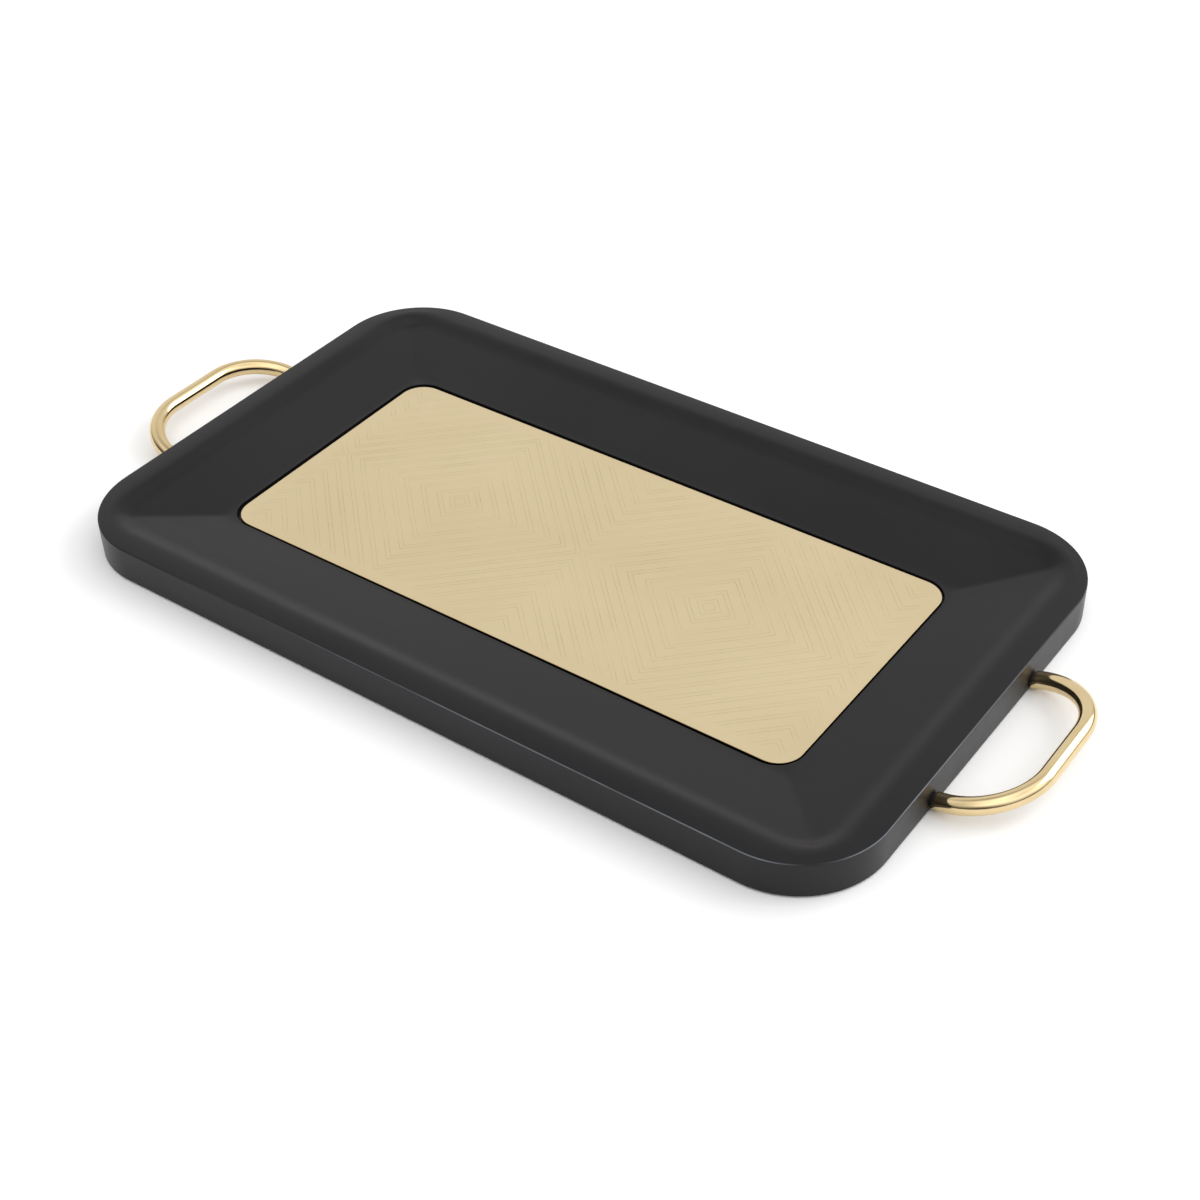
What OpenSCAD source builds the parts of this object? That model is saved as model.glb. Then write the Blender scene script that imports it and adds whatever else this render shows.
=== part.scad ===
// Serving tray: a black wooden board with a dished rim, an engraved brass plate
// let into the middle and a round-rod brass handle at each end.
// Units are millimetres. Z is up and the floor is z = 0. X runs along the long
// side, Y runs front to back, and the origin is on the floor under the centre.

/* [Board] */
// Length of the board along X
board_l = 450; // [440:1:470]
// Width of the board along Y
board_w = 270; // [264:1:284]
// Corner radius of the board seen from above
board_r = 45; // [42:1:48]
// Thickness of the board from its underside to the outer top edge
board_t = 18.8; // [18:0.2:20]
// Bevel that breaks the upper outer edge
edge_bevel = 0.5; // [0.3:0.1:0.8]
// Bevel along the lower outer edge
base_bevel = 0.4; // [0.3:0.1:0.5]

/* [Rim] */
// Width of the lip along the straight sides
lip_w = 8; // [7:0.5:10]
// Rise of the lip from the outer edge to its crest
lip_rise = 0.4; // [0.2:0.1:0.6]
// Corner radius of the inner edge of the lip
lip_r = 30; // [28:1:32]
// Slope of the short cove inside the lip, rise over run
cove_slope = 0.5; // [0.45:0.05:0.6]
// Slope of the four broad facets of the dish, rise over run
facet_slope = 0.18; // [0.17:0.005:0.19]

/* [Brass plate] */
// Length of the plate along X
plate_l = 333; // [325:1:336]
// Width of the plate along Y
plate_w = 151; // [148:1:153]
// Corner radius of the plate
plate_r = 13; // [11:1:15]
// Thickness of the plate
plate_t = 2; // [1.6:0.2:2.4]
// Width of the open joint between plate and board
plate_gap = 1.1; // [0.8:0.1:1.2]
// Depth of the plate surface below the inner edge of the rim
plate_sunk = 0.5; // [0.3:0.1:0.7]
// Bevel along the upper edge of the plate
plate_bevel = 0.4; // [0.2:0.1:0.6]
// Thickness of the adhesive film under the plate
glue_t = 0.3; // [0.2:0.1:0.4]
// Height of the plate surface above the underside of the board
plate_z = 9.1; // [8.8:0.1:9.6]

/* [Engraving] */
// Distance between the centres of the two nests of squares
nest_pitch = 153; // [150:1:156]
// Distance between neighbouring engraved squares, measured square to a line
ring_pitch = 7.2; // [6.8:0.1:7.6]
// Half size of the smallest square, measured square to a line
ring_first = 3.8; // [3.4:0.1:4.2]
// Distance from the centre at which the regular spacing starts
ring_start = 3; // [2.6:0.1:3.4]
// Swing of the hand-set spacing about the regular one
ring_swing = 1.1; // [0:0.1:1.4]
// Width of an engraved line
line_w = 2.2; // [1.6:0.1:2.6]
// Depth of an engraved line
line_d = 0.2; // [0.15:0.05:0.3]
// Number of engraved squares in a nest
ring_count = 15; // [13:1:15]
// Plain border left around the engraving
border = 2.5; // [2:0.5:4]

/* [Handles] */
// Diameter of the handle rod
rod_d = 8.6; // [8.2:0.1:9]
// Straight length of the grip between the two bends
grip_l = 32; // [30:1:36]
// Distance from the board to the centre line of the grip, along the handle
handle_reach = 38; // [37:0.5:41]
// Centre line radius of the two bends
bend_r = 32; // [30:0.5:33]
// Upward tilt of the right handle in degrees
tilt_right = 15; // [12:0.5:16]
// Upward tilt of the left handle in degrees
tilt_left = 10; // [8:0.5:14]
// Distance from the long middle line of the board to the middle of the handles
handle_shift = 2; // [0:0.5:2]
// Height of the leg centres above the underside of the board
leg_z = 3.8; // [3.8:0.1:4.6]

/* [Fixings] */
// Diameter of the threaded studs
stud_d = 4; // [3.8:0.1:4]
// Pitch of the stud thread
stud_pitch = 0.7; // [0.7:0.1:0.8]
// Depth of the thread
thread_d = 0.35; // [0.25:0.05:0.4]
// Length of stud inside a handle leg
stud_in_leg = 6; // [5:0.5:6]
// Length of stud inside the board
stud_in_board = 12; // [10:1:14]
// Outer diameter of the threaded inserts
insert_d = 5.6; // [5.4:0.1:5.8]
// Closed end of a threaded insert
insert_end = 1.5; // [1:0.5:2]
// Thickness of the dark spacer between a leg and the board
spacer_t = 0.8; // [0.6:0.1:1]
// Diameter of the spacers
spacer_d = 6.6; // [6:0.1:6.6]

/* [Feet] */
// Diameter of the felt pads
foot_d = 16; // [14:1:20]
// Thickness of the felt pads
foot_t = 2; // [1.6:0.2:2.4]
// Part of the pad that stands out of the board
foot_proud = 1; // [0.8:0.1:1.2]
// Distance from the sides of the board to the centre of a pad
foot_inset = 38; // [34:1:44]

/* [Hidden] */
$fn = 96;
board_z = foot_proud;
edge_z = board_z + board_t;
crest_z = edge_z + lip_rise;
brass_z = board_z + plate_z;
dish_z = brass_z + plate_sunk;
recess_l = plate_l + 2 * plate_gap;
recess_w = plate_w + 2 * plate_gap;
recess_r = plate_r + plate_gap;
recess_z = brass_z - plate_t - glue_t;
above = 1;
rod_r = rod_d / 2;
joint_z = board_z + leg_z;
leg_x = board_l / 2 + spacer_t;
cut_l = 20;
stud_r = stud_d / 2;
bore_r = stud_r + 0.05;
stud_len = stud_in_board + spacer_t + stud_in_leg;
insert_len = stud_in_board + insert_end;
bend_x = handle_reach - bend_r;
leg_y = grip_l / 2 + sqrt(bend_r * bend_r - bend_x * bend_x);
SIDES = [-1, 1];

// Flat outline: rectangle with round corners
module round_rect(l, w, r) {
    square([l - 2 * r, w], center = true);
    square([l, w - 2 * r], center = true);
    for (x = SIDES, y = SIDES)
        translate([x * (l / 2 - r), y * (w / 2 - r)])
            circle(r);
}

module round_slab(l, w, r, h) {
    linear_extrude(h)
        round_rect(l, w, r);
}

// Slab with round corners whose four sides lean in by lean over its height
module lean_slab(l, w, r, h, lean) {
    for (x = SIDES, y = SIDES)
        translate([x * (l / 2 - r), y * (w / 2 - r), 0])
            cylinder(h = h, r1 = r, r2 = r - lean);
    lean_prism(w, l - 2 * r, h, lean, 90);
    lean_prism(l, w - 2 * r, h, lean, 0);
}

// Prism with a trapezium section: wide at the foot, leaning in by lean at the top
module lean_prism(wide, run, h, lean, turn) {
    rotate([90, 0, turn])
        linear_extrude(run, center = true)
            polygon([
                [-wide / 2, 0],
                [wide / 2, 0],
                [wide / 2 - lean, h],
                [-wide / 2 + lean, h]
            ]);
}

// Board blank: bevelled slab whose lip rises a little from the edge to the crest
module board_blank() {
    wall_h = board_t - base_bevel - edge_bevel;
    top_l = board_l - 2 * edge_bevel;
    top_w = board_w - 2 * edge_bevel;
    translate([0, 0, board_z + base_bevel])
        mirror([0, 0, 1])
            lean_slab(board_l, board_w, board_r, base_bevel, base_bevel);
    translate([0, 0, board_z + base_bevel])
        round_slab(board_l, board_w, board_r, wall_h);
    translate([0, 0, edge_z - edge_bevel])
        lean_slab(board_l, board_w, board_r, edge_bevel, edge_bevel);
    translate([0, 0, edge_z])
        lean_slab(top_l, top_w, board_r - edge_bevel, lip_rise, lip_w - edge_bevel);
}

// Space above the four sloping facets of the dish
module facet_space() {
    rise = crest_z + above - dish_z;
    run = rise / facet_slope;
    translate([0, 0, dish_z])
        intersection() {
            lean_prism(recess_w, board_l, rise, -run, 90);
            lean_prism(recess_l, board_w, rise, -run, 0);
        }
}

// Space inside the cove that drops from the lip
module cove_space() {
    rise = crest_z + above - dish_z;
    lean = rise / cove_slope;
    extra = above / cove_slope;
    l = board_l - 2 * lip_w + 2 * extra;
    w = board_w - 2 * lip_w + 2 * extra;
    translate([0, 0, dish_z])
        lean_slab(l - 2 * lean, w - 2 * lean, lip_r + extra - lean, rise, -lean);
}

module plate_recess() {
    translate([0, 0, recess_z])
        round_slab(recess_l, recess_w, recess_r, crest_z - recess_z);
}

// Blind hole in the edge of the board for one threaded insert
module insert_hole(x, y) {
    at_leg(x, y)
        mirror([1, 0, 0])
            along_x(insert_len + spacer_t, insert_d / 2);
}

module foot_hole(x, y) {
    at_foot(x, y)
        cylinder(h = foot_t, d = foot_d);
}

module board() {
    color([0.09, 0.09, 0.1])
        difference() {
            board_blank();
            intersection() {
                facet_space();
                cove_space();
            }
            plate_recess();
            for (x = SIDES, y = SIDES) {
                insert_hole(x, y);
                foot_hole(x, y);
            }
        }
}

// Half size of one square: the spacing swings slowly over ten squares
function ring_half(i) = max(
    ring_first,
    ring_start + i * ring_pitch + ring_swing * sin(36 * (i - 2))
);

// One engraved square, turned so that its corners lie along X and Y
module engraved_ring(half) {
    rotate(45)
        difference() {
            square(2 * half + line_w, center = true);
            square(2 * half - line_w, center = true);
        }
}

// Nest of engraved squares that fills its own cell of the plate
module engraved_nest(x) {
    translate([x, 0])
        intersection() {
            for (i = [0:ring_count - 1])
                engraved_ring(ring_half(i));
            square([nest_pitch - line_w, plate_w], center = true);
        }
}

// Two whole nests side by side and the edge of a further one at each end
module engraving() {
    intersection() {
        for (k = [-1.5:1.5])
            engraved_nest(k * nest_pitch);
        square([plate_l - 2 * border, plate_w - 2 * border], center = true);
    }
}

module brass_plate() {
    color([0.8, 0.68, 0.42])
        difference() {
            translate([0, 0, brass_z - plate_t]) {
                round_slab(plate_l, plate_w, plate_r, plate_t - plate_bevel);
                translate([0, 0, plate_t - plate_bevel])
                    lean_slab(plate_l, plate_w, plate_r, plate_bevel, plate_bevel);
            }
            translate([0, 0, brass_z - line_d])
                linear_extrude(line_d + above)
                    engraving();
        }
}

module adhesive_film() {
    margin = 4;
    color([0.75, 0.72, 0.62])
        translate([0, 0, recess_z])
            round_slab(plate_l - 2 * margin, plate_w - 2 * margin, plate_r - margin, glue_t);
}

// Places a part at the joint of one leg, with X pointing away from the board
module at_leg(x, y) {
    mirror([x < 0 ? 1 : 0, 0, 0])
        translate([leg_x, y * leg_y - handle_shift, joint_z])
            children();
}

module along_x(len, r) {
    rotate([0, 90, 0])
        cylinder(h = len, r = r);
}

// Handle rod in its own plane: straight grip and two long bends that run past the board side
module rod() {
    sweep = 115;
    rotate([90, 0, 0])
        translate([handle_reach, 0, 0])
            cylinder(h = grip_l, r = rod_r, center = true);
    for (side = [0, 1])
        mirror([0, side, 0])
            translate([bend_x, grip_l / 2, 0])
                rotate_extrude(angle = sweep)
                    translate([bend_r, 0])
                        circle(rod_r);
}

module handle(x, tilt) {
    color([0.83, 0.7, 0.42])
        difference() {
            at_leg(x, 0)
                rotate([0, -tilt, 0])
                    rod();
            at_leg(x, 0)
                translate([-cut_l, -board_w / 2, -cut_l])
                    cube([cut_l, board_w, 2 * cut_l]);
            for (y = SIDES)
                at_leg(x, y)
                    translate([-above, 0, 0])
                        along_x(stud_in_leg + above, bore_r);
        }
}

// Threaded stud, drawn as a row of equal ridges
module stud(x, y) {
    turns = floor(stud_len / stud_pitch);
    root_r = stud_r - thread_d;
    color([0.62, 0.62, 0.6])
        at_leg(x, y)
            translate([-spacer_t - stud_in_board, 0, 0])
                rotate([0, 90, 0])
                    rotate_extrude()
                        union() {
                            square([root_r, stud_len]);
                            for (i = [0:turns - 1])
                                translate([0, i * stud_pitch])
                                    polygon([
                                        [root_r - 0.1, 0.05],
                                        [stud_r, stud_pitch * 0.4],
                                        [stud_r, stud_pitch * 0.6],
                                        [root_r - 0.1, stud_pitch - 0.05]
                                    ]);
                        }
}

// Threaded insert: closed sleeve with three gripping collars
module insert(x, y) {
    grip = 0.3;
    collars = 3;
    step = insert_len / collars;
    color([0.72, 0.6, 0.35])
        at_leg(x, y)
            translate([-spacer_t, 0, 0])
                mirror([1, 0, 0])
                    difference() {
                        union() {
                            along_x(insert_len, insert_d / 2 - grip);
                            for (i = [0:collars - 1])
                                translate([i * step, 0, 0])
                                    along_x(step * 0.7, insert_d / 2);
                        }
                        translate([-above, 0, 0])
                            along_x(stud_in_board + above, bore_r);
                    }
}

module spacer(x, y) {
    color([0.05, 0.05, 0.05])
        at_leg(x, y)
            translate([-spacer_t, 0, 0])
                difference() {
                    along_x(spacer_t, spacer_d / 2);
                    translate([-above, 0, 0])
                        along_x(spacer_t + 2 * above, bore_r);
                }
}

module at_foot(x, y) {
    translate([x * (board_l / 2 - foot_inset), y * (board_w / 2 - foot_inset), 0])
        children();
}

// Felt pad with a small bevel at the floor
module foot(x, y) {
    bevel = 0.4;
    color([0.2, 0.2, 0.21])
        at_foot(x, y) {
            cylinder(h = bevel, d1 = foot_d - 2 * bevel, d2 = foot_d);
            translate([0, 0, bevel])
                cylinder(h = foot_t - bevel, d = foot_d);
        }
}

board();
brass_plate();
adhesive_film();
handle(-1, tilt_left);  // handle_left
handle(1, tilt_right);  // handle_right
stud(-1, -1);  // stud_left_front
stud(-1, 1);  // stud_left_rear
stud(1, -1);  // stud_right_front
stud(1, 1);  // stud_right_rear
insert(-1, -1);  // insert_left_front
insert(-1, 1);  // insert_left_rear
insert(1, -1);  // insert_right_front
insert(1, 1);  // insert_right_rear
spacer(-1, -1);  // spacer_left_front
spacer(-1, 1);  // spacer_left_rear
spacer(1, -1);  // spacer_right_front
spacer(1, 1);  // spacer_right_rear
foot(-1, -1);  // foot_left_front
foot(-1, 1);  // foot_left_rear
foot(1, -1);  // foot_right_front
foot(1, 1);  // foot_right_rear
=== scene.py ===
"""Looks for the serving tray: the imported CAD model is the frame, and the visible
pieces are built round it. Lengths are in metres, Z is up, the floor is z = 0."""

import math

import bmesh
import bpy
import numpy as np
from mathutils import Matrix, Vector, noise


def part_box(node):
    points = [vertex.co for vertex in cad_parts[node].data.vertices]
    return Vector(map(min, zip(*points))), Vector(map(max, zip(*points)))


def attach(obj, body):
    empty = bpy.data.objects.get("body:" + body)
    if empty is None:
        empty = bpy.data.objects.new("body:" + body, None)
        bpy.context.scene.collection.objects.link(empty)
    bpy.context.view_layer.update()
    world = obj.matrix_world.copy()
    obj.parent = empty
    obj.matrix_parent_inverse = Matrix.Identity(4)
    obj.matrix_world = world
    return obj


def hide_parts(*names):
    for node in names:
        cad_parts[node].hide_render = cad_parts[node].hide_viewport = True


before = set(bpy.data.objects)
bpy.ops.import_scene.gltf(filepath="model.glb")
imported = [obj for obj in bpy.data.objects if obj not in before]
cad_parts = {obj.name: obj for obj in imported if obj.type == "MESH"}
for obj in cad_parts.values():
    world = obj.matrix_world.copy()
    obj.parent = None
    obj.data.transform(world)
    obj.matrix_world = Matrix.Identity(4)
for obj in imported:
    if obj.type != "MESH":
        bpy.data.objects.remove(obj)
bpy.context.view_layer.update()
MM = 0.001

# Without a seed of its own, noise_vector changes with the clock.
noise.seed_set(7)

# ---------------------------------------------------------------- sizes from the CAD
BOARD_LO, BOARD_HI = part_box("board")
PLATE_LO, PLATE_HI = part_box("brass_plate")
FILM_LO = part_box("adhesive_film")[0]
SPACER_LO, SPACER_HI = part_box("spacer_right_rear")
FRONT_SPACER_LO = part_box("spacer_right_front")[0]

BOARD_HALF = (BOARD_HI.x, BOARD_HI.y)
BOARD_R = 45 * MM
BASE_Z = BOARD_LO.z
CREST_Z = BOARD_HI.z
LIP_RISE = 0.4 * MM
EDGE_Z = CREST_Z - LIP_RISE
EDGE_BEVEL = 0.5 * MM
BASE_BEVEL = 0.4 * MM
UNDER_INSET = 6 * MM
LIP_W = 8 * MM
LIP_R = 30 * MM
ROLL_W = 14 * MM
CREASE_BLEND = 1.2 * MM
FACET_SLOPE = 0.18
FACET_FOOT = 3 * MM
BOARD_STEPS = (28, 40, 22)

# Slow waves left by hand finishing, kept off the roll and the edge of the recess.
WAVE_H = 0.035 * MM
WAVE_OUTER_RAMP = 12 * MM
WAVE_INNER_RAMP = 10 * MM
WAVE_CLEAR = 2 * MM

# Painted highlight on the upper edge: where it starts, how fast it grows, and the gap at one
# corner.
HIGHLIGHT_START = 0.3
HIGHLIGHT_SPAN = 1.1
HIGHLIGHT_GAP_TURN = math.radians(50)
CORNER_SPREAD = math.radians(20)

PLATE_HALF = (PLATE_HI.x, PLATE_HI.y)
PLATE_R = 13 * MM
# The dark line round the plate is 0.4 mm wider than in CAD, and the plate sits
# a little off centre, as in the photograph.
PLATE_GAP = 1.5 * MM
PLATE_SHIFT = Vector((0.3 * MM, 0.3 * MM, 0))
PLATE_TURN = math.radians(0.1)
RECESS_EDGE = 0.15 * MM
PLATE_BEVEL = 0.4 * MM
PLATE_Z = PLATE_HI.z
DISH_Z = PLATE_Z + 0.5 * MM
RECESS_Z = FILM_LO.z
RECESS_HALF = (PLATE_HALF[0] + PLATE_GAP, PLATE_HALF[1] + PLATE_GAP)
RECESS_R = PLATE_R + PLATE_GAP
RECESS_LIP = 0.6 * MM

NEST_PITCH = 153 * MM
RING_PITCH = 7.2 * MM
RING_FIRST = 3.8 * MM
RING_START = 3 * MM
RING_SWING = 1.1 * MM
RING_COUNT = 15
LINE_W = 2.2 * MM
GROOVE_HALF = 0.17 * MM
GROOVE_D = 0.035 * MM
STRIP_SHARE = 0.1
PLATE_BORDER = 4.4 * MM
PLATE_STEPS = (14, 60, 30)
NEST_COLUMNS = 64
END_COLUMNS = 16
ROW_CLEAR = 0.01 * MM
MERGE = 0.004 * MM
SLIVER = 0.002 * MM

# How a hand-held chisel wanders sideways, in millimetres, and how hard it presses.
WANDER_SLOW = 0.22
WANDER_FAST = 0.05
WANDER_RAMP = 4 * MM
PRESS_MEAN = 0.72
PRESS_SLOW = 0.55
PRESS_FAST = 0.35
PRESS_LEAST = 0.3
PRESS_MOST = 1.3

ROD_R = 4.29 * MM
BEND_R = 32 * MM
GRIP_HALF = 16 * MM
REACH = 38 * MM
ROD_SIDES = 48
BEND_STEPS = 40
GRIP_STEPS = 14
LEG_ROUND = 0.45 * MM
LEG_CLEAR = 2 * MM
TILT_LEFT = math.radians(10)
TILT_RIGHT = math.radians(15)
LEG_X = SPACER_HI.x
HANDLE_Y = (FRONT_SPACER_LO.y + SPACER_HI.y) / 2
LEG_Z = (SPACER_LO.z + SPACER_HI.z) / 2

FOOT_SIDES = 56
FOOT_FUZZ = 0.012


# ---------------------------------------------------------------- mesh helpers
def make_object(name, verts, faces):
    """Smooth-shaded object with its normals facing out."""
    mesh = bpy.data.meshes.new(name)
    mesh.from_pydata([tuple(v) for v in verts], [], faces)
    mesh.validate()
    bm = bmesh.new()
    bm.from_mesh(mesh)
    bmesh.ops.recalc_face_normals(bm, faces=bm.faces)
    bm.to_mesh(mesh)
    bm.free()
    for poly in mesh.polygons:
        poly.use_smooth = True
    obj = bpy.data.objects.new(name, mesh)
    bpy.context.scene.collection.objects.link(obj)
    return obj


def sharpen(obj, degrees):
    """Keeps edges sharper than this angle crisp under smooth shading."""
    bm = bmesh.new()
    bm.from_mesh(obj.data)
    limit = math.radians(degrees)
    for edge in bm.edges:
        if len(edge.link_faces) == 2 and edge.calc_face_angle() > limit:
            edge.smooth = False
    bm.to_mesh(obj.data)
    bm.free()


def ring_points(half_l, half_w, radius, corner_n, long_n, short_n):
    """Points round a rectangle with round corners, in the same order for every size."""
    points = []
    corners = ((1, 1, 0), (-1, 1, 90), (-1, -1, 180), (1, -1, 270))
    for index, (sx, sy, start) in enumerate(corners):
        cx, cy = sx * (half_l - radius), sy * (half_w - radius)
        for k in range(corner_n + 1):
            a = math.radians(start + 90 * k / corner_n)
            points.append((cx + radius * math.cos(a), cy + radius * math.sin(a)))
        nx, ny, nstart = corners[(index + 1) % 4]
        a = math.radians(nstart)
        end = (
            nx * (half_l - radius) + radius * math.cos(a),
            ny * (half_w - radius) + radius * math.sin(a),
        )
        side_n = long_n if index % 2 == 0 else short_n
        here = points[-1]
        for k in range(1, side_n):
            t = k / side_n
            points.append((
                here[0] + (end[0] - here[0]) * t,
                here[1] + (end[1] - here[1]) * t,
            ))
    return np.array(points)


def loft(rings):
    """Verts and faces for a stack of equal rings, with a flat cap at either end."""
    n = len(rings[0])
    verts = np.concatenate(rings)
    faces = []
    for k in range(len(rings) - 1):
        a, b = k * n, (k + 1) * n
        for i in range(n):
            j = (i + 1) % n
            faces.append((a + i, a + j, b + j, b + i))
    faces.append(tuple(range(n))[::-1])
    last = (len(rings) - 1) * n
    faces.append(tuple(range(last, last + n)))
    return verts, faces


def inside(x, y, half_l, half_w, radius):
    """Distance in from the outline of a rectangle with round corners."""
    qx = np.abs(x) - (half_l - radius)
    qy = np.abs(y) - (half_w - radius)
    outer = np.hypot(np.maximum(qx, 0), np.maximum(qy, 0))
    return radius - outer - np.minimum(np.maximum(qx, qy), 0)


def soft_max(a, b, blend):
    """Larger of two values, rounded over where they are within blend of each other."""
    h = np.maximum(blend - np.abs(a - b), 0) / blend
    return np.maximum(a, b) + h * h * blend / 4


def quarter(steps, first=0):
    """Angles that step through a quarter turn."""
    return [math.radians(90 * k / steps) for k in range(first, steps + 1)]


# ---------------------------------------------------------------- board
def waves(x, y):
    """Three crossing sine waves for the unevenness of the facets."""
    return (
        np.sin(x * 61 + y * 23)
        + np.sin(y * 83 - x * 17 + 1.3)
        + np.sin(x * 37 - y * 49 + 2.1)
    )


def rim_height(x, y):
    """Height of the dished rim: lip, soft roll and four sloping facets."""
    d = inside(x, y, BOARD_HALF[0], BOARD_HALF[1], BOARD_R)
    s = inside(x, y, BOARD_HALF[0] - LIP_W, BOARD_HALF[1] - LIP_W, LIP_R)
    lip_t = np.clip((d - EDGE_BEVEL) / (LIP_W - EDGE_BEVEL), 0, 1)
    lip = EDGE_Z + LIP_RISE * np.sin(lip_t * math.pi / 2)
    beyond = soft_max(np.abs(x) - RECESS_HALF[0], np.abs(y) - RECESS_HALF[1], CREASE_BLEND)
    facet = DISH_Z + FACET_SLOPE * soft_max(beyond, np.zeros_like(beyond), FACET_FOOT)
    t = np.clip(s / ROLL_W, 0, 1)
    ease = 1 - t * t * t * (t * (t * 6 - 15) + 10)
    dish = facet + (CREST_Z - facet) * ease
    fade = np.clip(s / WAVE_OUTER_RAMP, 0, 1)
    fade = fade * np.clip((beyond - WAVE_CLEAR) / WAVE_INNER_RAMP, 0, 1)
    dish = dish + WAVE_H * waves(x, y) * fade
    return np.where(s > 0, np.minimum(dish, CREST_Z), lip)


def board_ring(half_l, half_w, radius, z=None):
    """Ring of board points at one height, or on the rim surface if z is left out."""
    p = ring_points(half_l, half_w, radius, *BOARD_STEPS)
    height = rim_height(p[:, 0], p[:, 1]) if z is None else np.full(len(p), z)
    return np.column_stack([p, height])


def wall_ring(d, z):
    return board_ring(BOARD_HALF[0] - d, BOARD_HALF[1] - d, BOARD_R - d, z)


def wall_rings():
    """Underside, rounded lower edge, straight wall and rounded upper edge."""
    wall_low = BASE_Z + BASE_BEVEL
    wall_top = EDGE_Z - EDGE_BEVEL
    rings = [wall_ring(BASE_BEVEL + UNDER_INSET, BASE_Z)]
    for a in quarter(4):
        z = BASE_Z + BASE_BEVEL * (1 - math.cos(a))
        rings.append(wall_ring(BASE_BEVEL * (1 - math.sin(a)), z))
    for t in (0.04, 0.5, 0.96):
        rings.append(wall_ring(0, wall_low + (wall_top - wall_low) * t))
    for a in quarter(4):
        z = wall_top + EDGE_BEVEL * math.sin(a)
        rings.append(wall_ring(EDGE_BEVEL * (1 - math.cos(a)), z))
    return rings


def lip_rings():
    """The lip, whose corners tighten from the board's to those of the dish."""
    rings = []
    for d in np.linspace(EDGE_BEVEL, LIP_W, 9)[1:]:
        t = d / LIP_W
        radius = BOARD_R + (LIP_R - BOARD_R) * t
        rings.append(board_ring(BOARD_HALF[0] - d, BOARD_HALF[1] - d, radius))
    return rings


def dish_rings():
    """The roll and the facets, down to the edge of the recess."""
    steps = np.concatenate([
        np.linspace(0, 0.2, 22)[1:],
        np.linspace(0.2, 0.94, 20)[1:],
        np.linspace(0.94, 1, 6)[1:],
    ])
    start = (BOARD_HALF[0] - LIP_W, BOARD_HALF[1] - LIP_W, LIP_R)
    goal = (RECESS_HALF[0] + RECESS_EDGE, RECESS_HALF[1] + RECESS_EDGE, RECESS_R + RECESS_EDGE)
    rings = []
    for t in steps:
        size = [a + (b - a) * t for a, b in zip(start, goal)]
        rings.append(board_ring(*size))
    return rings


def recess_rings():
    """The eased edge of the recess and its wall."""
    rings = []
    for a in quarter(4, 1):
        d = RECESS_EDGE * (1 - math.sin(a))
        z = DISH_Z - RECESS_EDGE * (1 - math.cos(a))
        rings.append(board_ring(RECESS_HALF[0] + d, RECESS_HALF[1] + d, RECESS_R + d, z))
    for z in (DISH_Z - RECESS_LIP, RECESS_Z):
        rings.append(board_ring(RECESS_HALF[0], RECESS_HALF[1], RECESS_R, z))
    return rings


def edge_highlight_share(x, y, z, d):
    """Share of painted highlight on the upper edge, most along the front and right."""
    on_bevel = d < EDGE_BEVEL * 0.98 and z > EDGE_Z - EDGE_BEVEL * 0.9
    if not on_bevel:
        return 0.0
    side = x / BOARD_HALF[0] - y / BOARD_HALF[1]
    share = min(max((side - HIGHLIGHT_START) / HIGHLIGHT_SPAN, 0), 1)
    turn = math.atan2(y + BOARD_HALF[1] - BOARD_R, x - BOARD_HALF[0] + BOARD_R)
    off_corner = (turn + HIGHLIGHT_GAP_TURN) / CORNER_SPREAD
    if x > BOARD_HALF[0] - BOARD_R and y < BOARD_R - BOARD_HALF[1]:
        share *= 1 - math.exp(-off_corner * off_corner)
    return share


def build_board(material):
    verts, faces = loft(wall_rings() + lip_rings() + dish_rings() + recess_rings())
    obj = make_object("tray_board", verts, faces)
    # Painted highlight: each point of the upper edge gets its share of a light grey-blue line.
    painted_highlight = obj.data.attributes.new("painted_highlight", "FLOAT", "POINT")
    for index, v in enumerate(obj.data.vertices):
        d = inside(v.co.x, v.co.y, BOARD_HALF[0], BOARD_HALF[1], BOARD_R)
        painted_highlight.data[index].value = edge_highlight_share(v.co.x, v.co.y, v.co.z, d)
    sharpen(obj, 40)
    obj.data.materials.append(material)
    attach(obj, "root")
    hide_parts("board")


# ---------------------------------------------------------------- engraved plate
def ring_half(index):
    """Distance of one engraved square from the middle of its nest."""
    swing = math.sin(math.radians(36 * (index - 2)))
    return max(RING_FIRST, RING_START + index * RING_PITCH + RING_SWING * swing)


def line_rows():
    """Distances from the middle of a nest, each with its share of the groove depth."""
    half = LINE_W / 2
    rows = [(0.0, 0.0)]
    for k in range(RING_COUNT):
        for edge, below, above in ((-half, 0.0, STRIP_SHARE), (half, STRIP_SHARE, 0.0)):
            mid = ring_half(k) + edge
            rows += [(mid - GROOVE_HALF, below), (mid, 1.0), (mid + GROOVE_HALF, above)]
    return rows


def quadrant_limits(u, xmin, xmax, ymax):
    """Where a line at distance u from the middle starts and ends in its quadrant."""
    root2 = math.sqrt(2)
    low = max(-u, u - root2 * ymax, root2 * xmin - u)
    high = min(u, root2 * xmax - u)
    return low, high


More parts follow.
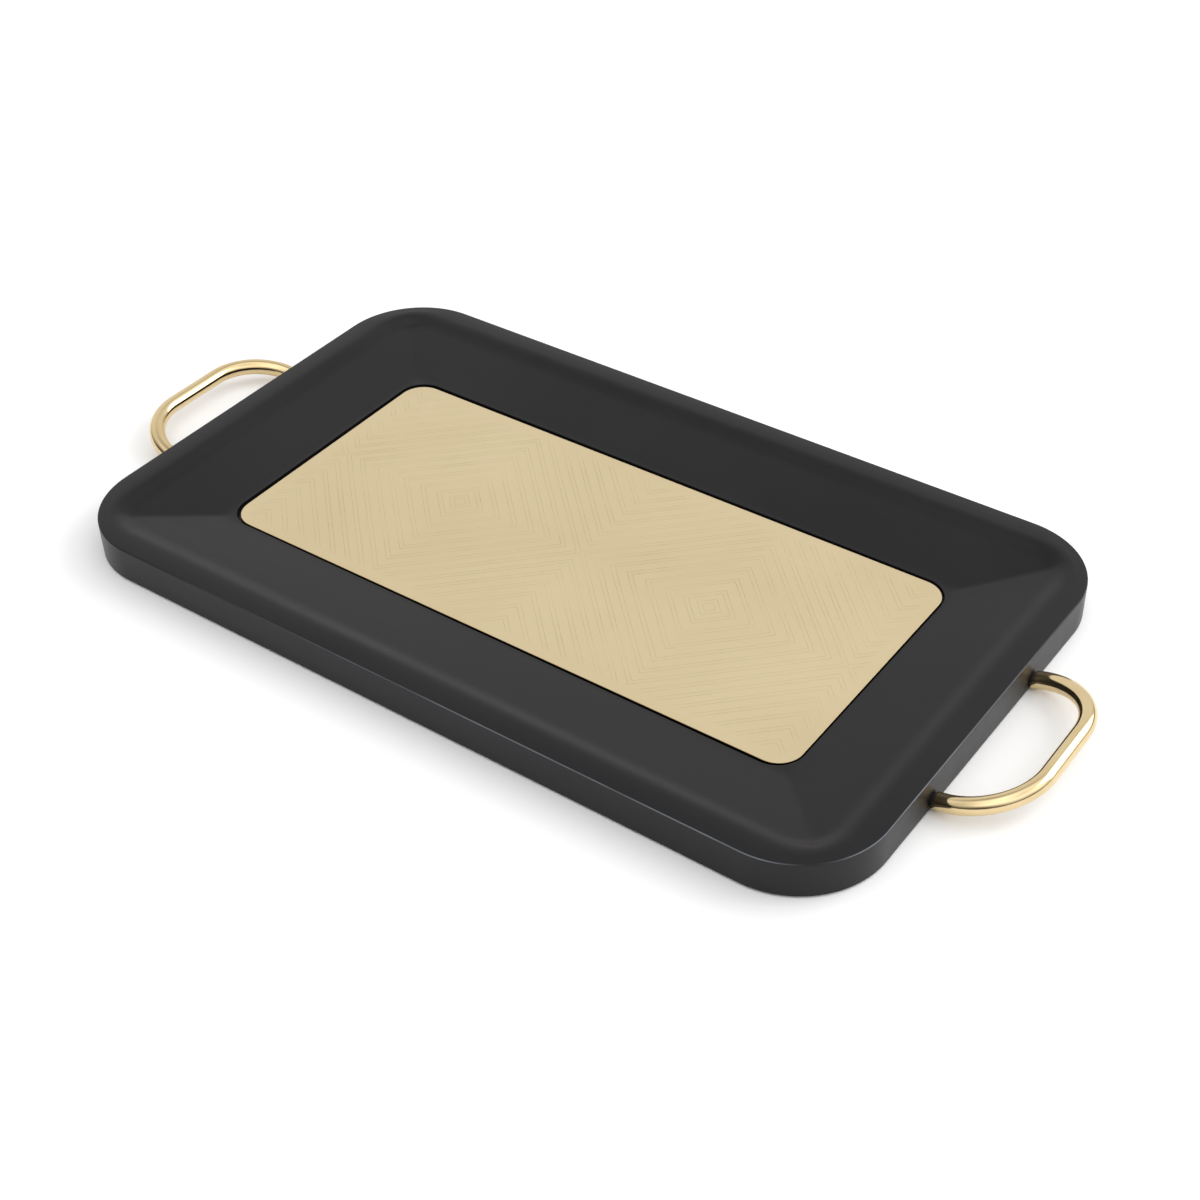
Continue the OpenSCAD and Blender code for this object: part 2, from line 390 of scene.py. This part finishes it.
def quadrant_grid(xmin, xmax, ymax, columns):
    """Grid of (dx, dy, depth) that follows the cut lines over one quadrant."""
    root2 = math.sqrt(2)
    rows = line_rows()
    breaks = [ymax / root2, xmax / root2]
    if xmin > 0:
        breaks.append(xmin / root2)
    edges = [u for u, _ in rows]
    for u in breaks:
        if u > 0 and min(abs(u - e) for e in edges) > ROW_CLEAR:
            rows.append((u, None))
    top_u = (xmax + ymax) / root2
    rows = sorted((r for r in rows if r[0] < top_u), key=lambda r: r[0])
    rows.append((top_u, None))
    known = [(u, d) for u, d in rows if d is not None]
    table_u = [u for u, _ in known]
    table_d = [d for _, d in known]
    grid = []
    for u, d in rows:
        low, high = quadrant_limits(u, xmin, xmax, ymax)
        if high < low:
            continue
        depth = np.interp(u, table_u, table_d) if d is None else d
        v = np.linspace(low, high, columns + 1)
        depths = np.full(len(v), depth)
        grid.append(np.column_stack([(u + v) / root2, (u - v) / root2, depths]))
    return grid


def plate_cells(half_x):
    """Nest centres with the inner reach of their squares and the sides they cover."""
    end_reach = NEST_PITCH * 1.5 - half_x
    return (
        (-1.5, end_reach, (1,)),
        (-0.5, 0.0, (-1, 1)),
        (0.5, 0.0, (-1, 1)),
        (1.5, end_reach, (-1,)),
    )


def plate_top(half_x, half_y):
    """Verts and faces of the engraved field, with every nest in its own cell."""
    verts, faces = [], []
    for place, xmin, sides in plate_cells(half_x):
        columns = NEST_COLUMNS if xmin == 0 else END_COLUMNS
        grid = quadrant_grid(xmin, NEST_PITCH / 2, half_y, columns)
        n = len(grid[0])
        for sx in sides:
            for sy in (-1, 1):
                base = len(verts)
                for row in grid:
                    for dx, dy, depth in row:
                        verts.append((place * NEST_PITCH + sx * dx, sy * dy, depth))
                for r in range(len(grid) - 1):
                    for c in range(n - 1):
                        a = base + r * n + c
                        quad = (a, a + 1, a + n + 1, a + n)
                        faces.append(quad if sx * sy < 0 else quad[::-1])
    return verts, faces


def hand_cut(v, half_x, half_y):
    """Moves a point of the engraved field the way a hand-held chisel wanders."""
    x, y, depth = v.co
    edge = min(half_x - abs(x), half_y - abs(y))
    ease = min(max(edge / WANDER_RAMP, 0), 1)
    slow = noise.noise_vector(Vector((x * 40, y * 40, 0))) * WANDER_SLOW * MM
    fast = noise.noise_vector(Vector((x * 240, y * 240, 5))) * WANDER_FAST * MM
    press = PRESS_MEAN + PRESS_SLOW * noise.noise(Vector((x * 45, y * 45, 9)))
    press += PRESS_FAST * noise.noise(Vector((x * 300, y * 300, 2)))
    cut = GROOVE_D * depth * min(max(press, PRESS_LEAST), PRESS_MOST)
    wander = (slow + fast) * ease
    v.co = Vector((x + wander.x, y + wander.y, PLATE_Z - cut * ease))


def cut_field(bm, mesh, half_x, half_y):
    """Joins the quadrants of the field into one sheet and cuts its lines."""
    bm.from_mesh(mesh)
    bmesh.ops.remove_doubles(bm, verts=bm.verts, dist=MERGE)
    bmesh.ops.dissolve_degenerate(bm, edges=bm.edges, dist=SLIVER)
    for v in bm.verts:
        hand_cut(v, half_x, half_y)


def edge_loops(bm):
    """Loops of vertices down the rounded edge and the side of the plate."""
    profile = (
        (PLATE_BEVEL, PLATE_Z),
        (PLATE_BEVEL * 0.45, PLATE_Z - PLATE_BEVEL * 0.12),
        (PLATE_BEVEL * 0.12, PLATE_Z - PLATE_BEVEL * 0.45),
        (0.0, PLATE_Z - PLATE_BEVEL),
        (0.0, PLATE_LO.z),
    )
    loops = []
    for inset, z in profile:
        half_x, half_y = PLATE_HALF[0] - inset, PLATE_HALF[1] - inset
        points = ring_points(half_x, half_y, PLATE_R - inset, *PLATE_STEPS)
        loops.append([bm.verts.new((x, y, z)) for x, y in points])
    return loops


def close_plate(bm):
    """Adds the plain border, the edge and the underside round the cut field."""
    field_edges = [e for e in bm.edges if e.is_boundary]
    loops = edge_loops(bm)
    n = len(loops[0])
    rim_edges = [bm.edges.new((loops[0][i], loops[0][(i + 1) % n])) for i in range(n)]
    bmesh.ops.triangle_fill(bm, use_beauty=True, edges=field_edges + rim_edges)
    for upper, lower in zip(loops, loops[1:]):
        for i in range(n):
            j = (i + 1) % n
            bm.faces.new((upper[i], upper[j], lower[j], lower[i]))
    bm.faces.new(loops[-1])
    bmesh.ops.recalc_face_normals(bm, faces=bm.faces)


def build_plate(material):
    half_x, half_y = PLATE_HALF[0] - PLATE_BORDER, PLATE_HALF[1] - PLATE_BORDER
    verts, faces = plate_top(half_x, half_y)
    mesh = bpy.data.meshes.new("engraved_plate")
    mesh.from_pydata(verts, [], faces)
    bm = bmesh.new()
    cut_field(bm, mesh, half_x, half_y)
    close_plate(bm)
    turn = Matrix.Rotation(PLATE_TURN, 3, "Z")
    for v in bm.verts:
        v.co = turn @ v.co + PLATE_SHIFT
    bm.to_mesh(mesh)
    bm.free()
    for poly in mesh.polygons:
        poly.use_smooth = poly.normal.z < 0.9
    obj = bpy.data.objects.new("engraved_plate", mesh)
    bpy.context.scene.collection.objects.link(obj)
    obj.data.materials.append(material)
    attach(obj, "root")
    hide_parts("brass_plate")


# ---------------------------------------------------------------- handles
def handle_path():
    """Centre line of the rod in its own plane, from the front leg to the rear leg."""
    bend_x = REACH - BEND_R
    end = math.acos(-bend_x / BEND_R)
    points, tangents = [], []
    for k in range(BEND_STEPS + 1):
        a = -end + end * k / BEND_STEPS
        points.append((bend_x + BEND_R * math.cos(a), -GRIP_HALF + BEND_R * math.sin(a)))
        tangents.append((-math.sin(a), math.cos(a)))
    for k in range(1, GRIP_STEPS):
        points.append((REACH, -GRIP_HALF + 2 * GRIP_HALF * k / GRIP_STEPS))
        tangents.append((0.0, 1.0))
    for k in range(BEND_STEPS + 1):
        a = end * k / BEND_STEPS
        points.append((bend_x + BEND_R * math.cos(a), GRIP_HALF + BEND_R * math.sin(a)))
        tangents.append((-math.sin(a), math.cos(a)))
    return points, tangents


def rod_ring(point, tangent, side, tilt_angle, radius, end_x=None):
    """Ring of points round the rod. end_x slides it onto the flat end of the leg."""
    tilt = Matrix.Rotation(-tilt_angle, 3, "Y")
    centre = tilt @ Vector((point[0], point[1], 0))
    along = tilt @ Vector((tangent[0], tangent[1], 0))
    across = tilt @ Vector((tangent[1], -tangent[0], 0))
    up = across.cross(along)
    ring = []
    for k in range(ROD_SIDES):
        a = 2 * math.pi * k / ROD_SIDES
        p = centre + (across * math.cos(a) + up * math.sin(a)) * radius
        if end_x is not None:
            p = p + along * ((end_x - p.x) / along.x)
        ring.append((side * (LEG_X + p.x), HANDLE_Y + p.y, LEG_Z + p.z))
    return np.array(ring)


def leg_end(point, tangent, side, tilt_angle, order):
    """Rings that round the rim of a flat leg end."""
    rings = []
    for t in order:
        a = t * math.pi / 2
        radius = ROD_R - LEG_ROUND * (1 - math.cos(a))
        end_x = LEG_ROUND * (1 - math.sin(a))
        rings.append(rod_ring(point, tangent, side, tilt_angle, radius, end_x))
    return rings


def build_handle(side, tilt_angle, name, node, material):
    points, tangents = handle_path()
    rings = leg_end(points[0], tangents[0], side, tilt_angle, (1.0, 0.5, 0.0))
    for p, t in zip(points[1:-1], tangents[1:-1]):
        near_end = p[0] < LEG_CLEAR
        if not near_end:
            rings.append(rod_ring(p, t, side, tilt_angle, ROD_R))
    rings += leg_end(points[-1], tangents[-1], side, tilt_angle, (0.0, 0.5, 1.0))
    verts, faces = loft(rings)
    obj = make_object(name, verts, faces)
    sharpen(obj, 50)
    obj.data.materials.append(material)
    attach(obj, "root")
    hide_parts(node)


# ---------------------------------------------------------------- felt pads
def foot_ring(centre, radius, z, seed):
    """Ring of a round pad whose cut edge is a little uneven."""
    ring = []
    for k in range(FOOT_SIDES):
        a = 2 * math.pi * k / FOOT_SIDES
        spot = Vector((9 * math.cos(a), 9 * math.sin(a), seed))
        r = radius * (1 - FOOT_FUZZ * (0.5 + 0.5 * noise.noise(spot)))
        ring.append((centre.x + r * math.cos(a), centre.y + r * math.sin(a), z))
    return np.array(ring)


def build_foot(node, material):
    lo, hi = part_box(node)
    centre, radius = (lo + hi) / 2, (hi.x - lo.x) / 2
    profile = ((0.55, 0.0), (0.85, 0.0), (0.95, 0.04), (0.99, 0.2), (1.0, 0.5), (0.995, 1.0))
    rings = []
    for share, rise in profile:
        z = lo.z + (hi.z - lo.z) * rise
        rings.append(foot_ring(centre, radius * share, z, lo.x * 40))
    verts, faces = loft(rings)
    obj = make_object("pad_" + node, verts, faces)
    sharpen(obj, 60)
    obj.data.materials.append(material)
    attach(obj, "root")
    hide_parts(node)


# ---------------------------------------------------------------- materials
class Surface:
    """Small wrapper that builds a node material in object coordinates."""

    def __init__(self, name, base, roughness, metallic=0.0):
        self.mat = bpy.data.materials.new(name)
        self.mat.use_nodes = True
        self.nodes = self.mat.node_tree.nodes
        self.links = self.mat.node_tree.links
        self.bsdf = self.nodes["Principled BSDF"]
        self.bsdf.inputs["Base Color"].default_value = (*base, 1)
        self.bsdf.inputs["Roughness"].default_value = roughness
        self.bsdf.inputs["Metallic"].default_value = metallic
        self.coords = self.nodes.new("ShaderNodeTexCoord")
        self.height = None

    def noise(self, scale, detail, rough, stretch=(1, 1, 1), distort=0.0):
        """Noise in metres, or finer along the axes with a larger stretch."""
        mapping = self.nodes.new("ShaderNodeMapping")
        mapping.inputs["Scale"].default_value = stretch
        self.links.new(self.coords.outputs["Object"], mapping.inputs["Vector"])
        tex = self.nodes.new("ShaderNodeTexNoise")
        tex.inputs["Scale"].default_value = scale
        tex.inputs["Detail"].default_value = detail
        tex.inputs["Roughness"].default_value = rough
        tex.inputs["Distortion"].default_value = distort
        self.links.new(mapping.outputs["Vector"], tex.inputs["Vector"])
        return tex.outputs["Fac"]

    def remap(self, value, low, high, start=0.3, stop=0.7):
        """Takes start..stop to low..high, and holds the ends."""
        node = self.nodes.new("ShaderNodeMapRange")
        node.inputs["From Min"].default_value = start
        node.inputs["From Max"].default_value = stop
        node.inputs["To Min"].default_value = low
        node.inputs["To Max"].default_value = high
        self.links.new(value, node.inputs["Value"])
        return node.outputs["Result"]

    def combine(self, a, b, operation="ADD"):
        node = self.nodes.new("ShaderNodeMath")
        node.operation = operation
        self.links.new(a, node.inputs[0])
        self.links.new(b, node.inputs[1])
        return node.outputs["Value"]

    def ramp(self, value, stops):
        node = self.nodes.new("ShaderNodeValToRGB")
        ramp = node.color_ramp
        while len(ramp.elements) < len(stops):
            ramp.elements.new(0.5)
        for element, (place, colour) in zip(ramp.elements, stops):
            element.position = place
            element.color = (*colour, 1)
        self.links.new(value, node.inputs["Fac"])
        return node.outputs["Color"]

    def attribute(self, name):
        node = self.nodes.new("ShaderNodeAttribute")
        node.attribute_name = name
        return node.outputs["Fac"]

    def position(self):
        split = self.nodes.new("ShaderNodeSeparateXYZ")
        self.links.new(self.coords.outputs["Object"], split.inputs["Vector"])
        return split.outputs["X"], split.outputs["Y"], split.outputs["Z"]

    def mix(self, share, first, second):
        """First colour socket, fading to a plain second colour."""
        node = self.nodes.new("ShaderNodeMix")
        node.data_type = "RGBA"
        self.links.new(share, node.inputs["Factor"])
        self.links.new(first, node.inputs[6])
        node.inputs[7].default_value = (*second, 1)
        return node.outputs[2]

    def colour(self, value):
        self.links.new(value, self.bsdf.inputs["Base Color"])

    def roughness(self, value):
        self.links.new(value, self.bsdf.inputs["Roughness"])

    def bump(self, value, distance, strength=1.0):
        node = self.nodes.new("ShaderNodeBump")
        node.inputs["Strength"].default_value = strength
        node.inputs["Distance"].default_value = distance
        self.links.new(value, node.inputs["Height"])
        if self.height is not None:
            self.links.new(self.height, node.inputs["Normal"])
        self.height = node.outputs["Normal"]
        self.links.new(self.height, self.bsdf.inputs["Normal"])


def lacquer_material():
    """Black satin lacquer over faint grain, with a painted light grey-blue highlight along the
    upper edge.
    """
    s = Surface("black_lacquer", (0.008, 0.008, 0.009), 0.36)
    s.bsdf.inputs["Specular IOR Level"].default_value = 0.28
    cloud = s.noise(14, 5, 0.6)
    grain = s.noise(90, 6, 0.6, (0.06, 1, 1), 0.4)
    peel = s.noise(900, 2, 0.5)
    black = s.ramp(cloud, ((0.3, (0.0044, 0.0036, 0.0044)), (0.7, (0.0072, 0.0061, 0.0072))))
    patchy = s.remap(s.noise(40, 3, 0.6), 0.5, 1.0)
    # Painted highlight: the upper edge turns light grey-blue where its highlight share is set.
    highlight_share = s.combine(s.attribute("painted_highlight"), patchy, "MULTIPLY")
    s.colour(s.mix(highlight_share, black, (0.16, 0.18, 0.205)))
    s.roughness(s.combine(s.remap(cloud, 0.33, 0.4), s.remap(grain, -0.02, 0.02)))
    s.bump(grain, 0.02 * MM, 0.5)
    s.bump(peel, 0.01 * MM, 0.5)
    return s.mat


def plate_material():
    """Satin brass, darker in the cut lines, with painted shade that makes its side almost black."""
    s = Surface("satin_brass", (0.78, 0.66, 0.42), 0.36, 1.0)
    cloud = s.noise(11, 4, 0.55)
    brush = s.noise(700, 3, 0.6, (0.02, 1, 1))
    spots = s.noise(160, 5, 0.65)
    tone = s.combine(s.remap(cloud, 0.0, 0.8), s.remap(brush, 0.0, 0.2))
    clean = s.ramp(tone, ((0.1, (0.74, 0.605, 0.37)), (0.9, (0.78, 0.65, 0.41))))
    height = s.position()[2]
    depth = s.remap(height, 1.0, 0.0, PLATE_Z - 1.2 * GROOVE_D, PLATE_Z - 0.08 * GROOVE_D)
    cut = s.mix(depth, clean, (0.42, 0.325, 0.175))
    # Painted shade: the side of the plate, down in the gap, turns almost black.
    low, high = PLATE_Z - 0.4 * PLATE_BEVEL, PLATE_Z - 0.12 * PLATE_BEVEL
    side = s.remap(height, 1.0, 0.0, low, high)
    s.colour(s.mix(side, cut, (0.02, 0.014, 0.008)))
    s.roughness(s.combine(s.remap(cloud, 0.355, 0.375), s.remap(spots, -0.01, 0.015)))
    s.bump(brush, 0.012 * MM, 0.6)
    s.bump(spots, 0.01 * MM, 0.3)
    return s.mat


def handle_material():
    s = Surface("polished_brass", (0.80, 0.64, 0.38), 0.14, 1.0)
    cloud = s.noise(45, 4, 0.6)
    smear = s.noise(220, 4, 0.6, (1, 0.3, 1))
    s.colour(s.ramp(cloud, ((0.25, (0.70, 0.53, 0.285)), (0.75, (0.80, 0.64, 0.375)))))
    s.roughness(s.combine(s.remap(cloud, 0.06, 0.11), s.remap(smear, -0.01, 0.03)))
    s.bump(smear, 0.01 * MM, 0.5)
    return s.mat


def turned_metal(name, base, roughness):
    s = Surface(name, base, roughness, 1.0)
    rings = s.noise(1500, 3, 0.6, (1, 0.08, 0.08))
    cloud = s.noise(120, 3, 0.6)
    dark = tuple(c * 0.8 for c in base)
    s.colour(s.ramp(cloud, ((0.3, dark), (0.7, base))))
    s.roughness(s.remap(cloud, roughness - 0.06, roughness + 0.08))
    s.bump(rings, 0.01 * MM, 0.6)
    return s.mat


def dull_material(name, low, high, roughness, scale, bump):
    s = Surface(name, high, roughness)
    fibre = s.noise(scale, 6, 0.7)
    cloud = s.noise(scale / 12, 3, 0.6)
    s.colour(s.ramp(s.combine(fibre, cloud, "MULTIPLY"), ((0.12, low), (0.42, high))))
    s.roughness(s.remap(fibre, roughness - 0.08, min(roughness + 0.05, 1)))
    s.bump(fibre, bump, 0.9)
    return s.mat


def felt_material():
    mat = dull_material("felt", (0.02, 0.02, 0.022), (0.09, 0.09, 0.095), 0.95, 1800, 0.12 * MM)
    bsdf = mat.node_tree.nodes["Principled BSDF"]
    bsdf.inputs["Sheen Weight"].default_value = 0.4
    bsdf.inputs["Sheen Roughness"].default_value = 0.6
    return mat


def dress_cad_nodes(looks):
    """Gives the fixings that keep their CAD shape a material, by the start of the name."""
    for name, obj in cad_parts.items():
        for start, material in looks.items():
            if name.startswith(start):
                obj.data.materials.clear()
                obj.data.materials.append(material)


# ---------------------------------------------------------------- studio
FLOOR_HALF = 12.0
SOFTBOX_PLACE = (1.1, 1.3, 1.1)
SOFTBOX_SIZE = 1.4
SOFTBOX_POWER = 14

# The photograph's view, found by fitting the outlines of the board and the plate.
CAMERA_TURN = math.radians(36.786)
CAMERA_HEIGHT = math.radians(39.026)
CAMERA_ROLL = math.radians(-1.682)
CAMERA_DISTANCE = 979.4 * MM
CAMERA_TARGET = Vector((23.75 * MM, -15.68 * MM, BASE_Z))
CAMERA_SENSOR = 36
CAMERA_LENS = 60.123


def build_floor():
    mesh = bpy.data.meshes.new("floor")
    corners = [(x * FLOOR_HALF, y * FLOOR_HALF, 0) for x, y in ((-1, -1), (1, -1), (1, 1), (-1, 1))]
    mesh.from_pydata(corners, [], [(0, 1, 2, 3)])
    floor = bpy.data.objects.new("floor", mesh)
    bpy.context.scene.collection.objects.link(floor)
    s = Surface("floor_white", (0.97, 0.97, 0.97), 0.9)
    s.bsdf.inputs["Specular IOR Level"].default_value = 0.1
    floor.data.materials.append(s.mat)


def build_softbox():
    """Square softbox high at the rear right, aimed at the middle of the tray."""
    data = bpy.data.lights.new("right_softbox", "AREA")
    data.shape = "RECTANGLE"
    data.size = data.size_y = SOFTBOX_SIZE
    data.energy = SOFTBOX_POWER
    light = bpy.data.objects.new("right_softbox", data)
    light.location = SOFTBOX_PLACE
    aim = -Vector(SOFTBOX_PLACE)
    light.rotation_euler = aim.to_track_quat("-Z", "Y").to_euler()
    bpy.context.scene.collection.objects.link(light)


class Sky:
    """World whose brightness is a few soft patches on an even base."""

    def __init__(self, base):
        self.world = bpy.data.worlds.new("studio")
        bpy.context.scene.world = self.world
        self.world.use_nodes = True
        self.nodes = self.world.node_tree.nodes
        self.links = self.world.node_tree.links
        self.coords = self.nodes.new("ShaderNodeTexCoord")
        self.base = base
        self.total = None

    def patch(self, turn, height, inner, outer, level):
        """Soft round patch, in degrees: turn runs from the back to the right, and
        the light falls off between inner and outer. A level below 0 shades."""
        turn, height = math.radians(turn), math.radians(height)
        way = (
            math.sin(turn) * math.cos(height),
            math.cos(turn) * math.cos(height),
            math.sin(height),
        )
        dot = self.nodes.new("ShaderNodeVectorMath")
        dot.operation = "DOT_PRODUCT"
        dot.inputs[1].default_value = way
        self.links.new(self.coords.outputs["Generated"], dot.inputs[0])
        fade = self.nodes.new("ShaderNodeMapRange")
        fade.interpolation_type = "SMOOTHSTEP"
        fade.inputs["From Min"].default_value = math.cos(math.radians(outer))
        fade.inputs["From Max"].default_value = math.cos(math.radians(inner))
        fade.inputs["To Min"].default_value = 0.0
        fade.inputs["To Max"].default_value = level
        self.links.new(dot.outputs["Value"], fade.inputs["Value"])
        add = self.nodes.new("ShaderNodeMath")
        add.operation = "ADD"
        if self.total is None:
            add.inputs[0].default_value = self.base
        else:
            self.links.new(self.total, add.inputs[0])
        self.links.new(fade.outputs["Result"], add.inputs[1])
        self.total = add.outputs["Value"]

    def finish(self, backdrop):
        """Lights with the patches, and shows plain white above the edge of the floor."""
        path = self.nodes.new("ShaderNodeLightPath")
        seen = self.nodes.new("ShaderNodeMix")
        seen.data_type = "FLOAT"
        self.links.new(path.outputs["Is Camera Ray"], seen.inputs[0])
        self.links.new(self.total, seen.inputs[2])
        seen.inputs[3].default_value = backdrop
        background = self.nodes["Background"]
        background.inputs["Color"].default_value = (1, 1, 1, 1)
        self.links.new(seen.outputs[0], background.inputs["Strength"])


def build_world():
    """Wide glow at the back left, three smaller ones, and a flag straight overhead."""
    sky = Sky(0.14)
    sky.patch(turn=-44, height=37, inner=35, outer=75, level=0.77)
    sky.patch(turn=105, height=60, inner=10, outer=60, level=1.4)
    sky.patch(turn=50, height=24, inner=10, outer=42, level=0.6)
    sky.patch(turn=-165, height=58, inner=5, outer=48, level=0.75)
    sky.patch(turn=0, height=90, inner=5, outer=50, level=-0.6)
    sky.finish(backdrop=1.0)


def build_camera():
    """Camera at the photograph's height, turn and lens, aimed near the middle."""
    back = Vector((
        math.sin(CAMERA_TURN) * math.cos(CAMERA_HEIGHT),
        -math.cos(CAMERA_TURN) * math.cos(CAMERA_HEIGHT),
        math.sin(CAMERA_HEIGHT),
    ))
    right = Vector((math.cos(CAMERA_TURN), math.sin(CAMERA_TURN), 0))
    up = back.cross(right)
    cam_x = right * math.cos(CAMERA_ROLL) + up * math.sin(CAMERA_ROLL)
    cam_y = up * math.cos(CAMERA_ROLL) - right * math.sin(CAMERA_ROLL)
    data = bpy.data.cameras.new("camera")
    data.sensor_width = CAMERA_SENSOR
    data.lens = CAMERA_LENS
    data.clip_start, data.clip_end = 0.01, 100
    camera = bpy.data.objects.new("camera", data)
    matrix = Matrix((cam_x, cam_y, back)).transposed().to_4x4()
    matrix.translation = CAMERA_TARGET + back * CAMERA_DISTANCE
    camera.matrix_world = matrix
    bpy.context.scene.collection.objects.link(camera)
    bpy.context.scene.camera = camera


# ---------------------------------------------------------------- the scene
build_camera()
build_floor()
build_world()
build_softbox()
bpy.context.scene.view_settings.view_transform = "Standard"

build_board(lacquer_material())
build_plate(plate_material())
HANDLE_BRASS = handle_material()
build_handle(-1, TILT_LEFT, "brass_handle_left", "handle_left", HANDLE_BRASS)
build_handle(1, TILT_RIGHT, "brass_handle_right", "handle_right", HANDLE_BRASS)
FELT = felt_material()
for foot in ("foot_left_front", "foot_left_rear", "foot_right_front", "foot_right_rear"):
    build_foot(foot, FELT)

ZINC = turned_metal("zinc_steel", (0.56, 0.56, 0.55), 0.32)
BRASS = turned_metal("turned_brass", (0.72, 0.56, 0.32), 0.28)
FIBRE_LOW, FIBRE_HIGH = (0.004, 0.004, 0.004), (0.02, 0.02, 0.02)
FIBRE = dull_material("black_fibre", FIBRE_LOW, FIBRE_HIGH, 0.7, 900, 0.03 * MM)
GLUE_LOW, GLUE_HIGH = (0.35, 0.3, 0.2), (0.62, 0.56, 0.42)
GLUE = dull_material("cured_adhesive", GLUE_LOW, GLUE_HIGH, 0.5, 300, 0.03 * MM)
dress_cad_nodes({"stud": ZINC, "insert": BRASS, "spacer": FIBRE, "adhesive": GLUE})
